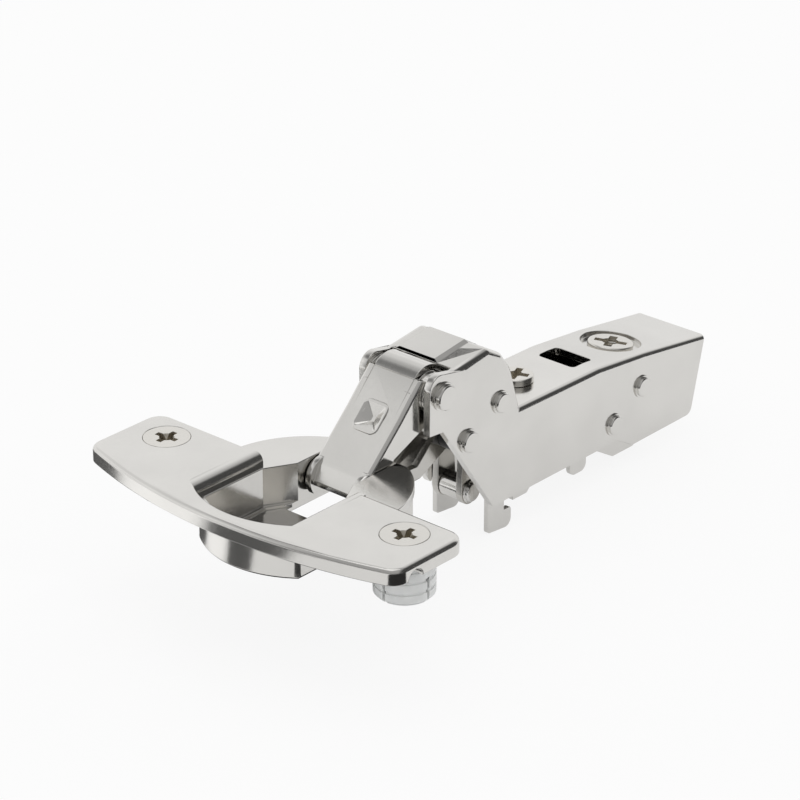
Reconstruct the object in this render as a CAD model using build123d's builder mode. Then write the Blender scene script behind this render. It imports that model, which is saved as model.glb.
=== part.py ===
from build123d import *
from math import hypot, sqrt
import os

os.makedirs("parts", exist_ok=True)

# Concealed cup hinge, drawn open at a right angle.
# Origin: centre of the 35 mm cup, on the top face of its flange.
# X runs from the cup along the arm, Y across the hinge, Z up. Millimetres.

# ------------------------------------------------------------------ shared sizes
# Pivots of the linkage in the side view, as (X, Z).
cup_pivot = (9.3, -5.6)
inner_cup_pivot = (13.8, -7.8)
link_pivot = (24.8, 7.1)
spring_pivot = (39.4, 0.9)
inner_link_pivot = (31.1, -3.3)
lever_pivot = (37.2, -16.4)
tilt_pivot = (78.3, -9.9)
damper_pivot = (70.6, -14.6)
latch_pivot = (87.0, -14.4)

running_fit = 0.05
press_fit = 0.01
side_play = 0.1

# Cup and flange.
cup_radius = 17.5
cup_flat = 11.0
cup_bottom = -10.2
cup_rear = cup_radius - 2.2
cup_wall = 0.8
disc_top = -2.0
disc_bottom = -3.4
cheek_start = 4.5
flange_thickness = 2.8
flange_rear = 0.5
flange_half_length = 33.7
screw_x = -5.5
screw_spacing = 52.0
screw_head_radius = 3.95
screw_shank_radius = 1.9
dowel_radius = 5.0
dowel_bottom = -10.4

# Folded sheets.
arm_sheet = 1.4
arm_half_width = 7.75
arm_inside = arm_half_width - arm_sheet
washer_thickness = 0.45
washer_play = 0.05
link_sheet = 1.5
link_half_width = arm_inside - washer_thickness - washer_play
link_inside = link_half_width - link_sheet
inner_link_play = 1.1
inner_link_sheet = 1.25
inner_plate_outside = link_inside - inner_link_play
inner_plate_inside = inner_plate_outside - inner_link_sheet
cheek_gap = link_half_width + 0.15
base_sheet = 1.0
base_half_width = arm_inside - side_play
base_inside = base_half_width - base_sheet
base_web_top = -6.8

# Pins.
cup_pin_radius = 1.25
inner_cup_pin_radius = 0.9
link_axle_radius = 1.6
spring_axle_radius = 1.4
inner_link_axle_radius = 1.4
lever_pin_radius = 1.5
tilt_pin_radius = 1.3
damper_pin_radius = 1.25
latch_pin_radius = 1.0
head_collar = 0.3

# Adjusting screws.
depth_screw_x = 79.0
depth_dimple_radius = 6.15
depth_dimple_depth = 0.9
depth_screw_plane = Plane(
    origin=(depth_screw_x, 0, -3.72),
    x_dir=(0.9925, 0, -0.122),
    z_dir=(0.122, 0, 0.9925),
)
top_aligned = (Align.CENTER, Align.CENTER, Align.MAX)
bottom_aligned = (Align.CENTER, Align.CENTER, Align.MIN)
side_screw_x = 52.8


def side_cylinder(x, z, radius, half_length, mode=Mode.ADD):
    """A cylinder lying across the hinge, centred on its middle plane."""
    with Locations(Location((x, 0, z), (90, 0, 0))):
        Cylinder(radius, 2 * half_length, mode=mode)


def side_ring(x, z, outer, inner, y_start, y_end):
    """A flat ring on each side of the hinge."""
    middle = (y_start + y_end) / 2
    for side in (-1, 1):
        with Locations(Location((x, side * middle, z), (90, 0, 0))):
            Cylinder(outer, y_end - y_start)
    side_cylinder(x, z, inner, y_end + 1, Mode.SUBTRACT)


def headed_pin(pivot, shank, head, grip, total):
    """A pin across the hinge with a raised, chamfered head at each end."""
    side_cylinder(pivot[0], pivot[1], shank, grip)
    for side in (-1, 1):
        middle = side * (grip + total) / 2
        with Locations(Location((pivot[0], middle, pivot[1]), (90, 0, 0))):
            Cylinder(head, total - grip)
    tips = edges().filter_by(GeomType.CIRCLE).group_by(Axis.Y)
    chamfer(tips[0] + tips[-1], 0.2)
    for side in (-1, 1):
        with Locations(Location((pivot[0], side * (grip + head_collar / 2), pivot[1]), (90, 0, 0))):
            Cylinder(head + head_collar, head_collar)


def side_bar(start, start_radius, end, end_radius):
    """The side view of a bar with round ends, drawn in the current sketch."""
    run = (end[0] - start[0], end[1] - start[1])
    length = hypot(*run)
    along = (run[0] / length, run[1] / length)
    lean = (start_radius - end_radius) / length
    rise = sqrt(1 - lean**2)
    upper = (along[0] * lean - along[1] * rise, along[1] * lean + along[0] * rise)
    lower = (along[0] * lean + along[1] * rise, along[1] * lean - along[0] * rise)
    with Locations(start):
        Circle(start_radius)
    with Locations(end):
        Circle(end_radius)
    Polygon(
        (start[0] + upper[0] * start_radius, start[1] + upper[1] * start_radius),
        (end[0] + upper[0] * end_radius, end[1] + upper[1] * end_radius),
        (end[0] + lower[0] * end_radius, end[1] + lower[1] * end_radius),
        (start[0] + lower[0] * start_radius, start[1] + lower[1] * start_radius),
        align=None,
    )


def torsion_coil(pivot, radius, wire_size, width, turns):
    """The coil of a torsion spring around a pivot."""
    travel = width - wire_size
    start = Plane(origin=(pivot[0], travel / 2, pivot[1]), x_dir=(-1, 0, 0), z_dir=(0, -1, 0))
    coil_edge = start.location * Edge.make_helix(travel / turns, travel, radius)
    with BuildSketch(Plane(origin=coil_edge @ 0, z_dir=coil_edge % 0)) as section:
        Circle(wire_size / 2)
    sweep(sections=section.sketch, path=coil_edge)


def wire_leg(start, end, y, wire_size):
    """A straight spring leg in the side view, a shade thinner than the coil that it leaves."""
    length = hypot(end[0] - start[0], end[1] - start[1])
    direction = ((end[0] - start[0]) / length, 0, (end[1] - start[1]) / length)
    with BuildSketch(Plane(origin=(start[0], y, start[1]), x_dir=(0, 1, 0), z_dir=direction)) as section:
        Circle(0.47 * wire_size)
    extrude(section.sketch, amount=length)


# ------------------------------------------------------------------ cup
# One casting: the flange, the thin disc behind it and the deep pot, whose sides
# are flat. Pins cross the two cheeks beside the channel that the links pass
# through.
flange_front = -21.5
flange_front_end = -15.8
flange_rim = 3.3
rim_radius = 0.8
opening_radius = -flange_front - flange_rim
opening_half_width = 11.5
cavity_radius = cup_radius - cup_wall
cavity_half_width = 8.9
cavity_step = -8.75
cavity_floor = -9.4
ledge = 0.7
slant_start = -0.75
relief_x = -11.6
relief_radius = 1.7
relief_depth = 2.5
slot_front = 1.8
pocket_radius = 2.15
pocket_shift = (-0.57, 0.45)
pocket_depth = cheek_gap + 2.6

with BuildPart() as hinge_cup:
    with BuildSketch(Plane.XY.offset(-flange_thickness)) as flange_outline:
        with BuildLine():
            ThreePointArc(
                (flange_front_end, -flange_half_length),
                (flange_front, 0),
                (flange_front_end, flange_half_length),
            )
            Polyline(
                (flange_front_end, flange_half_length),
                (flange_rear, flange_half_length),
                (flange_rear, -flange_half_length),
                (flange_front_end, -flange_half_length),
            )
        make_face()
        fillet(flange_outline.vertices(), 3.0)
    extrude(amount=flange_thickness)
    with BuildSketch(Plane.XY.offset(disc_top)) as opening:
        Circle(opening_radius)
        Rectangle(60, 2 * opening_half_width, mode=Mode.INTERSECT)
        with Locations((flange_rear + 10, 0)):
            Rectangle(20, 2 * opening_half_width)
        fillet(opening.vertices().group_by(Axis.X)[0], 1.2)
    extrude(amount=5, mode=Mode.SUBTRACT)
    fillet(edges().group_by(Axis.Z)[-1], rim_radius)
    fillet(edges().group_by(Axis.Z)[0], 0.3)
    with BuildSketch(Plane.XY.offset(disc_bottom)) as disc:
        Circle(cup_radius)
        with Locations((cup_rear - 30, 0)):
            Rectangle(60, 60, mode=Mode.INTERSECT)
    extrude(amount=disc_top - disc_bottom)
    for side in (-1, 1):
        with Locations(Location((relief_x, side * flange_half_length, -flange_thickness), (90, 0, 0))):
            Cylinder(relief_radius, 2 * relief_depth, mode=Mode.SUBTRACT)
    with BuildSketch(Plane.XY.offset(cup_bottom)) as pot:
        Circle(cup_radius)
        with Locations((cup_rear - 30, 0)):
            Rectangle(60, 2 * cup_flat, mode=Mode.INTERSECT)
    extrude(amount=disc_bottom - cup_bottom)
    fillet(edges().group_by(Axis.Z)[0], 0.45)
    with BuildSketch(Plane.XY.offset(cavity_step)) as cavity:
        Circle(cavity_radius)
        with Locations((slant_start - 30, 0)):
            Rectangle(60, 2 * cavity_half_width, mode=Mode.INTERSECT)
        Polygon(
            (slant_start, -cavity_half_width),
            (cheek_start, -cheek_gap),
            (30, -cheek_gap),
            (30, cheek_gap),
            (cheek_start, cheek_gap),
            (slant_start, cavity_half_width),
            align=None,
        )
    extrude(amount=20, mode=Mode.SUBTRACT)
    with BuildSketch(Plane.XY.offset(cavity_floor)):
        add(cavity.sketch)
        offset(amount=-ledge)
    extrude(amount=5, mode=Mode.SUBTRACT)
    with Locations((slot_front + 15, 0, cup_bottom)):
        Box(30, 2 * cheek_gap, 10, mode=Mode.SUBTRACT)
    side_cylinder(cup_pivot[0], cup_pivot[1], cup_pin_radius + press_fit, 12, Mode.SUBTRACT)
    with BuildSketch(Plane.XZ):
        with Locations((inner_cup_pivot[0] + pocket_shift[0], inner_cup_pivot[1] + pocket_shift[1])):
            Circle(pocket_radius)
            with Locations((5, 0)):
                Rectangle(10, 2 * pocket_radius)
    extrude(amount=pocket_depth, both=True, mode=Mode.SUBTRACT)
    with GridLocations(0, screw_spacing, 1, 2):
        with Locations((screw_x, 0, 0)):
            Cylinder(screw_shank_radius + running_fit, 20, mode=Mode.SUBTRACT)
    with BuildSketch(Plane.XZ.offset(-screw_spacing / 2)) as sink:
        Polygon(
            (screw_x, 0.1),
            (screw_x + screw_head_radius + running_fit, 0.1),
            (screw_x + screw_head_radius + running_fit, -0.35),
            (screw_x + screw_shank_radius, -2.4),
            (screw_x, -2.4),
            align=None,
        )
    revolve(axis=Axis((screw_x, screw_spacing / 2, 0), (0, 0, 1)), mode=Mode.SUBTRACT)
    with BuildSketch(Plane.XZ.offset(screw_spacing / 2)):
        add(sink.sketch)
    revolve(axis=Axis((screw_x, -screw_spacing / 2, 0), (0, 0, 1)), mode=Mode.SUBTRACT)

hinge_cup.part.label = "hinge_cup"
export_step(hinge_cup.part, "parts/hinge_cup.step")

# Countersunk screws, heads flush with the flange, cross recess in the head.
recess_depth = 1.7
recess_arm = 4.3
recess_slot = 1.0

with BuildPart() as cup_screws:
    for side in (-1, 1):
        with BuildSketch(Plane.XZ.offset(-side * screw_spacing / 2)):
            Polygon(
                (screw_x, -0.02),
                (screw_x + screw_head_radius, -0.02),
                (screw_x + screw_head_radius, -0.35),
                (screw_x + screw_shank_radius, -2.35),
                (screw_x + screw_shank_radius, -8.6),
                (screw_x, -9.8),
                align=None,
            )
        revolve(axis=Axis((screw_x, side * screw_spacing / 2, 0), (0, 0, 1)))
    with GridLocations(0, screw_spacing, 1, 2):
        with Locations((screw_x, 0, 0)):
            Cone(0.4, 1.3, recess_depth, align=(Align.CENTER, Align.CENTER, Align.MAX), mode=Mode.SUBTRACT)
            for turn in (0, 90):
                with Locations(Location((0, 0, -recess_depth / 2), (0, 0, turn + 4))):
                    Box(recess_arm, recess_slot, recess_depth, mode=Mode.SUBTRACT)

cup_screws.part.label = "cup_screws"
export_step(cup_screws.part, "parts/cup_screws.step")

# Plastic dowels: a collar, then barbed rings, slit so that the screw spreads them.
barb_pitch = 1.9
barb_depth = 0.28
slit_width = 0.5

with BuildPart() as cup_dowels:
    with GridLocations(0, screw_spacing, 1, 2):
        with Locations((screw_x, 0, -flange_thickness)):
            Cylinder(
                dowel_radius,
                -dowel_bottom - flange_thickness,
                align=(Align.CENTER, Align.CENTER, Align.MAX),
            )
    chamfer(edges().group_by(Axis.Z)[0], 0.7)
    for ring in range(3):
        level = -flange_thickness - 1.6 - ring * barb_pitch
        with GridLocations(0, screw_spacing, 1, 2):
            with Locations((screw_x, 0, level)):
                Cylinder(dowel_radius + 1, 0.5, mode=Mode.SUBTRACT)
                Cylinder(dowel_radius - barb_depth, 0.5)
    with GridLocations(0, screw_spacing, 1, 2):
        with Locations((screw_x, 0, 0)):
            Cylinder(screw_shank_radius + press_fit, 40, mode=Mode.SUBTRACT)
        with Locations((screw_x, 0, dowel_bottom + 2.2)):
            Box(slit_width, 12, 4.6, mode=Mode.SUBTRACT)
            Box(12, slit_width, 4.6, mode=Mode.SUBTRACT)

cup_dowels.part.label = "cup_dowels"
export_step(cup_dowels.part, "parts/cup_dowels.step")

# Pins pressed through the cup's cheeks.
with BuildPart() as cup_pin:
    side_cylinder(cup_pivot[0], cup_pivot[1], cup_pin_radius, cup_flat - 0.2)
    chamfer(edges().filter_by(GeomType.CIRCLE), 0.2)

cup_pin.part.label = "cup_pin"
export_step(cup_pin.part, "parts/cup_pin.step")

# ------------------------------------------------------------------ outer link
# One folded sheet: a curl over its axle, a web with one slight bend, and a
# narrower lip that wraps the cup pin. The side flanges end in round ears.
curl_radius = 4.6
curl_half_width = link_inside
fold_edge = 0.7
lip_half_width = 5.0
emboss_plane = Plane(
    origin=(15.65, 0, 4.28),
    x_dir=(0, 1, 0),
    z_dir=(-0.7, 0, 0.714),
)
emboss_length = 5.8
emboss_width = 5.3
emboss_height = 0.22
emboss_pit = 4.5
upper_ear_radius = 3.4
lower_ear_radius = 3.6
lower_ear_cut = 2.2

def is_web_edge(edge):
    """True for the long outer edges of the web, where the sheet is folded down."""
    middle = edge.center()
    return edge.length > 3 and middle.X < 19 and middle.Z > middle.X - 12.5


with BuildPart() as outer_link:
    with BuildSketch(Plane.XZ) as link_side:
        with Locations(link_pivot):
            Circle(upper_ear_radius)
        with Locations(cup_pivot):
            Circle(lower_ear_radius)
        Polygon(
            (21.5, 10.3),
            (16.3, 4.9),
            (8.5, -2.5),
            (9.3, -5.6),
            (12.8, -4.6),
            (14.8, -1.4),
            (22.3, 1.7),
            (26.8, 4.2),
            (25.0, 9.0),
            align=None,
        )
        with Locations((cup_pivot[0], cup_pivot[1] - lower_ear_cut - 5)):
            Rectangle(20, 10, mode=Mode.SUBTRACT)
        Polygon((10.2, -7.9), (13.5, -6.6), (13.5, -9), align=None, mode=Mode.SUBTRACT)
    extrude(amount=link_half_width, both=True)
    Box(120, 2 * link_inside, 80, mode=Mode.SUBTRACT)
    with BuildSketch(Plane.XZ) as link_web:
        with Locations(link_pivot):
            Circle(curl_radius)
            Circle(curl_radius - link_sheet, mode=Mode.SUBTRACT)
        Polygon(
            link_pivot,
            (28.6, 14.2),
            (36, 14),
            (36, -4),
            (12, -4),
            (17.2, 14.3),
            align=None,
            mode=Mode.SUBTRACT,
        )
        Polygon(
            (21.48, 10.3),
            (16.3, 4.9),
            (8.5, -2.5),
            (9.53, -3.59),
            (17.35, 3.86),
            (22.56, 9.26),
            align=None,
        )
    extrude(amount=curl_half_width, both=True)
    with BuildSketch(Plane.XZ):
        Polygon(
            (19.8, 8.54),
            (16.3, 4.9),
            (8.5, -2.5),
            (9.53, -3.59),
            (17.35, 3.86),
            (20.85, 7.5),
            align=None,
        )
    extrude(amount=link_half_width, both=True)
    with BuildSketch(Plane.XZ) as lip:
        Polygon(
            (9.5, -1.6),
            (8.5, -2.5),
            (7.9, -2.95),
            (6.45, -5.4),
            (6.55, -6.3),
            (8.3, -6.3),
            (8.3, -4.6),
            (10.5, -2.6),
            align=None,
        )
    extrude(amount=lip_half_width, both=True)
    fold_lines = edges().filter_by(lambda edge: abs(abs(edge.center().Y) - link_half_width) < 0.01)
    fillet(fold_lines.filter_by(is_web_edge), fold_edge)
    with BuildSketch(emboss_plane):
        RectangleRounded(emboss_width, emboss_length, 1.3)
    extrude(amount=emboss_height)
    with BuildSketch(emboss_plane.offset(emboss_height)):
        RectangleRounded(emboss_pit, emboss_pit + 0.2, 0.5)
    extrude(amount=-1.2, taper=58, mode=Mode.SUBTRACT)
    side_cylinder(link_pivot[0], link_pivot[1], link_axle_radius + running_fit, 12, Mode.SUBTRACT)
    side_cylinder(cup_pivot[0], cup_pivot[1], cup_pin_radius + running_fit, 12, Mode.SUBTRACT)

outer_link.part.label = "outer_link"
export_step(outer_link.part, "parts/outer_link.step")

# Thrust rings between the link's ears and the arm plates.
washer_radius = 3.4

with BuildPart() as link_washers:
    side_ring(
        link_pivot[0],
        link_pivot[1],
        washer_radius,
        link_axle_radius + press_fit,
        arm_inside - washer_thickness,
        arm_inside,
    )

link_washers.part.label = "link_washers"
export_step(link_washers.part, "parts/link_washers.step")

# ------------------------------------------------------------------ inner link
# Two plates joined by a hub and a cross web. Their rear legs reach down to the
# damper. A cam on the hub takes the spring.
inner_eye_radius = 1.6
bar_bend = (24.0, -8.0)
bar_bend_radius = 1.2
hub_radius = 2.4
hub_cam = (31.2, -0.9)
hub_cam_radius = 1.1
leg_corner = (37.0, -8.0)
leg_corner_radius = 1.8
lever_eye_radius = 2.4

with BuildPart() as inner_link:
    with BuildSketch(Plane.XZ):
        side_bar(inner_cup_pivot, inner_eye_radius, bar_bend, bar_bend_radius)
        side_bar(bar_bend, bar_bend_radius, inner_link_pivot, hub_radius)
        side_bar(inner_link_pivot, hub_radius, leg_corner, leg_corner_radius)
        side_bar(leg_corner, leg_corner_radius, lever_pivot, lever_eye_radius)
    extrude(amount=inner_plate_outside, both=True)
    Box(120, 2 * inner_plate_inside, 80, mode=Mode.SUBTRACT)
    with BuildSketch(Plane.XZ) as hub:
        side_bar(inner_link_pivot, hub_radius, hub_cam, hub_cam_radius)
        Polygon((24.6, -9.0), (30.2, -5.3), (29.6, -4.2), (24.0, -7.9), align=None)
    extrude(amount=inner_plate_inside + 0.2, both=True)
    for pivot, radius in (
        (inner_cup_pivot, inner_cup_pin_radius + press_fit),
        (inner_link_pivot, inner_link_axle_radius + running_fit),
        (lever_pivot, lever_pin_radius + press_fit),
    ):
        side_cylinder(pivot[0], pivot[1], radius, 12, Mode.SUBTRACT)

inner_link.part.label = "inner_link"
export_step(inner_link.part, "parts/inner_link.step")

with BuildPart() as inner_cup_pin:
    side_cylinder(inner_cup_pivot[0], inner_cup_pivot[1], inner_cup_pin_radius, pocket_depth - 0.3)
    chamfer(edges().filter_by(GeomType.CIRCLE), 0.15)

inner_cup_pin.part.label = "inner_cup_pin"
export_step(inner_cup_pin.part, "parts/inner_cup_pin.step")

with BuildPart() as lever_pin:
    headed_pin(
        lever_pivot,
        lever_pin_radius,
        lever_pin_radius + 0.3,
        inner_plate_outside,
        inner_plate_outside + 0.8,
    )

lever_pin.part.label = "lever_pin"
export_step(lever_pin.part, "parts/lever_pin.step")

# ------------------------------------------------------------------ arm
# A folded channel, open below. Its plates reach forward past the web to carry
# the link, and rise into a hump over the spring.
web_front = 28.4
bend_radius = 1.0
pad_near = -2.6
pad_far = 5.0
pad_ramp = 1.0
window_x = 66.2
window_length = 5.4
window_width = 7.9
window_corner = 0.8

with BuildPart() as hinge_arm:
    with BuildSketch(Plane.XZ) as arm_side:
        with BuildLine():
            ThreePointArc((21.4, 8.6), (22.6, 10.7), (25.0, 11.0))
            Polyline(
                (25.0, 11.0),
                (27.4, 10.5),
                (36.4, 11.6),
                (39.9, 9.6),
                (42.4, 6.1),
                (44.9, -2.1),
                (66.2, -2.4),
                (79.0, -3.7),
                (96.5, -6.2),
                (93.0, -20.5),
                (76.2, -20.6),
                (71.6, -18.1),
                (37.9, -18.1),
                (24.9, 0.5),
                (21.5, 0.8),
                (21.4, 8.6),
            )
        make_face()
        fillet(arm_side.vertices().sort_by_distance((93.0, -20.5))[0], 1.6)
        fillet(arm_side.vertices().sort_by_distance((39.9, 9.6))[0], 3.0)
        fillet(arm_side.vertices().sort_by_distance((36.4, 11.6))[0], 1.5)
        fillet(arm_side.vertices().sort_by_distance((42.4, 6.1))[0], 4.0)
    extrude(amount=arm_half_width, both=True)
    outer_sides = edges().filter_by(lambda edge: abs(abs(edge.center().Y) - arm_half_width) < 0.01)
    fillet(outer_sides.filter_by(lambda edge: edge.center().Z > -5 and edge.center().X > 27.5), bend_radius)
    with BuildSketch(Plane.XZ) as arm_hollow:
        Polygon(
            (19, 12.5),
            (web_front - 0.4, 12.5),
            (web_front, 9.2),
            (36.0, 10.15),
            (38.9, 8.6),
            (41.1, 5.5),
            (43.8, -3.5),
            (66.2, -3.8),
            (79.0, -5.1),
            (98, -7.85),
            (98, -30),
            (19, -30),
            align=None,
        )
    extrude(amount=arm_inside, both=True, mode=Mode.SUBTRACT)
    pad_sections = []
    for x, top in ((web_front, 11.07), (36.2, 12.02), (38.6, 10.33)):
        with BuildSketch(Plane.YZ.offset(x)) as pad_section:
            Polygon(
                (pad_near - pad_ramp, top - 0.9),
                (pad_near - pad_ramp, top - 0.6),
                (pad_near, top),
                (pad_far, top),
                (pad_far + pad_ramp, top - 0.6),
                (pad_far + pad_ramp, top - 0.9),
                align=None,
            )
        pad_sections.append(pad_section.sketch)
    loft(pad_sections, ruled=True)
    with Locations(depth_screw_plane.offset(-0.3)):
        Cylinder(depth_dimple_radius, depth_dimple_depth + 0.9, align=top_aligned)
    with Locations(depth_screw_plane.offset(-depth_dimple_depth)):
        Cylinder(depth_dimple_radius - 0.7, 10, align=bottom_aligned, mode=Mode.SUBTRACT)
        Cylinder(2.0 + running_fit, 20, mode=Mode.SUBTRACT)
    with BuildSketch(Plane.XY.offset(-7)):
        with Locations((window_x, 0)):
            RectangleRounded(window_length, window_width, window_corner)
    extrude(amount=8, mode=Mode.SUBTRACT)
    with Locations((side_screw_x, 0, -3)):
        Cylinder(2.5 + running_fit, 8, mode=Mode.SUBTRACT)
    for pivot, radius in (
        (link_pivot, link_axle_radius),
        (spring_pivot, spring_axle_radius),
        (inner_link_pivot, inner_link_axle_radius),
        (tilt_pivot, tilt_pin_radius),
        (damper_pivot, damper_pin_radius),
    ):
        side_cylinder(pivot[0], pivot[1], radius + press_fit, 12, Mode.SUBTRACT)

hinge_arm.part.label = "hinge_arm"
export_step(hinge_arm.part, "parts/hinge_arm.step")

# Riveted axles, with raised round heads on the plates.
with BuildPart() as link_axle:
    headed_pin(link_pivot, link_axle_radius, 2.2, arm_half_width, arm_half_width + 1.15)

link_axle.part.label = "link_axle"
export_step(link_axle.part, "parts/link_axle.step")

with BuildPart() as spring_axle:
    headed_pin(spring_pivot, spring_axle_radius, 1.75, arm_half_width, arm_half_width + 0.9)

spring_axle.part.label = "spring_axle"
export_step(spring_axle.part, "parts/spring_axle.step")

with BuildPart() as inner_link_axle:
    headed_pin(inner_link_pivot, inner_link_axle_radius, 1.85, arm_half_width, arm_half_width + 1.0)

inner_link_axle.part.label = "inner_link_axle"
export_step(inner_link_axle.part, "parts/inner_link_axle.step")

with BuildPart() as tilt_pin:
    headed_pin(tilt_pivot, tilt_pin_radius, 1.75, arm_half_width, arm_half_width + 0.8)

tilt_pin.part.label = "tilt_pin"
export_step(tilt_pin.part, "parts/tilt_pin.step")

with BuildPart() as damper_pin:
    headed_pin(damper_pivot, damper_pin_radius, 1.75, arm_half_width, arm_half_width + 0.8)

damper_pin.part.label = "damper_pin"
export_step(damper_pin.part, "parts/damper_pin.step")

# Sleeves that keep the inner link in the middle of its axle.
with BuildPart() as axle_sleeves:
    side_ring(
        inner_link_pivot[0],
        inner_link_pivot[1],
        2.4,
        inner_link_axle_radius + press_fit,
        inner_plate_outside + running_fit,
        arm_inside,
    )

axle_sleeves.part.label = "axle_sleeves"
export_step(axle_sleeves.part, "parts/axle_sleeves.step")

# ------------------------------------------------------------------ closing spring
# A torsion spring on a plastic sleeve. One leg lies under the hump's web, the
# other presses on the inner link's hub.
wire = 0.9
coil_radius = 2.35
coil_turns = 2.75
coil_width = 3.6

with BuildPart() as spring_sleeve:
    side_cylinder(spring_pivot[0], spring_pivot[1], 1.85, arm_inside)
    side_cylinder(spring_pivot[0], spring_pivot[1], spring_axle_radius + press_fit, 12, Mode.SUBTRACT)

spring_sleeve.part.label = "spring_sleeve"
export_step(spring_sleeve.part, "parts/spring_sleeve.step")

with BuildPart() as closing_spring:
    torsion_coil(spring_pivot, coil_radius, wire, coil_width, coil_turns)
    wire_leg((spring_pivot[0], spring_pivot[1] + coil_radius), (30.9, 0.95), (wire - coil_width) / 2, wire)
    wire_leg((spring_pivot[0] - coil_radius, spring_pivot[1]), (36.6, 9.4), (coil_width - wire) / 2, wire)

closing_spring.part.label = "closing_spring"
export_step(closing_spring.part, "parts/closing_spring.step")

# ------------------------------------------------------------------ damper
# A small fluid damper. Its rod's eye sits on the lever pin, and its rear eye
# hangs on the damper pin with play, since that pivot is the open one.
damper_line = (33.4, 1.8)
damper_reach = (damper_line[0] ** 2 + damper_line[1] ** 2) ** 0.5
damper_axis = (damper_line[0] / damper_reach, 0, damper_line[1] / damper_reach)
damper_play = 0.75
damper_play_shift = (-0.22, 0.28)
rod_radius = 1.0
rod_eye_radius = 2.2
piston_start = 20.6
piston_end = 22.0
gland_start = 12.6
gland_end = 14.2
cylinder_end = 30.2
bore_end = 29.3
bore_radius = 1.8
cylinder_radius = 2.5
rear_eye_radius = 3.1


def damper_plane(distance):
    """The plane square to the damper, at a distance behind the lever pin."""
    origin = (
        lever_pivot[0] + damper_axis[0] * distance,
        0,
        lever_pivot[1] + damper_axis[2] * distance,
    )
    return Plane(origin=origin, x_dir=(0, 1, 0), z_dir=damper_axis)


with BuildPart() as damper_rod:
    side_cylinder(lever_pivot[0], lever_pivot[1], rod_eye_radius, inner_plate_inside - side_play)
    with BuildSketch(damper_plane(0)):
        Circle(rod_radius)
    extrude(amount=piston_end)
    side_cylinder(lever_pivot[0], lever_pivot[1], lever_pin_radius + running_fit, 12, Mode.SUBTRACT)

damper_rod.part.label = "damper_rod"
export_step(damper_rod.part, "parts/damper_rod.step")

with BuildPart() as damper_piston:
    with BuildSketch(damper_plane(piston_start)):
        Circle(bore_radius - 0.1)
        Circle(rod_radius + press_fit, mode=Mode.SUBTRACT)
    extrude(amount=piston_end - piston_start)

damper_piston.part.label = "damper_piston"
export_step(damper_piston.part, "parts/damper_piston.step")

with BuildPart() as damper_cylinder:
    with BuildSketch(damper_plane(gland_start)):
        Circle(cylinder_radius)
    extrude(amount=cylinder_end - gland_start)
    with BuildSketch(damper_plane(cylinder_end - 1)):
        Rectangle(4.4, 3.0)
    extrude(amount=damper_reach - cylinder_end + 1)
    with Locations((damper_play_shift[0], 0, damper_play_shift[1])):
        side_cylinder(damper_pivot[0], damper_pivot[1], rear_eye_radius, 2.2)
        side_cylinder(damper_pivot[0], damper_pivot[1], damper_pin_radius + damper_play, 12, Mode.SUBTRACT)
    with BuildSketch(damper_plane(gland_start - 1)):
        Circle(bore_radius)
    extrude(amount=bore_end - gland_start + 1, mode=Mode.SUBTRACT)

damper_cylinder.part.label = "damper_cylinder"
export_step(damper_cylinder.part, "parts/damper_cylinder.step")

with BuildPart() as damper_gland:
    with BuildSketch(damper_plane(gland_start)):
        Circle(bore_radius - press_fit)
        Circle(rod_radius + running_fit, mode=Mode.SUBTRACT)
    extrude(amount=gland_end - gland_start)

damper_gland.part.label = "damper_gland"
export_step(damper_gland.part, "parts/damper_gland.step")

# ------------------------------------------------------------------ depth slide
# The block that the arm tilts on. It slides along the base channel.
slide_front = 74.6
slide_rear = 82.8
slide_bottom = -12.6
adjust_travel = 2.3

with BuildPart() as depth_slide:
    with BuildSketch(Plane.XZ):
        Polygon(
            (slide_front, base_web_top - base_sheet - side_play),
            (slide_rear, base_web_top - base_sheet - side_play),
            (slide_rear, slide_bottom),
            (slide_front, slide_bottom),
            align=None,
        )
    extrude(amount=base_inside - side_play, both=True)
    fillet(edges().filter_by(Axis.Y), 1.0)
    side_cylinder(tilt_pivot[0], tilt_pivot[1], tilt_pin_radius + running_fit, 12, Mode.SUBTRACT)

depth_slide.part.label = "depth_slide"
export_step(depth_slide.part, "parts/depth_slide.step")

# ------------------------------------------------------------------ base channel
# The channel that clips on the mounting plate: hooks in front, a locating tab
# and a round lug in the middle, and a skirt at the rear for the latch.
peg_radius = 1.1
peg_offset = 2.55
peg_play = 0.4
web_start = 48.0
web_end = 83.5
neck_radius = 1.0

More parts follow.
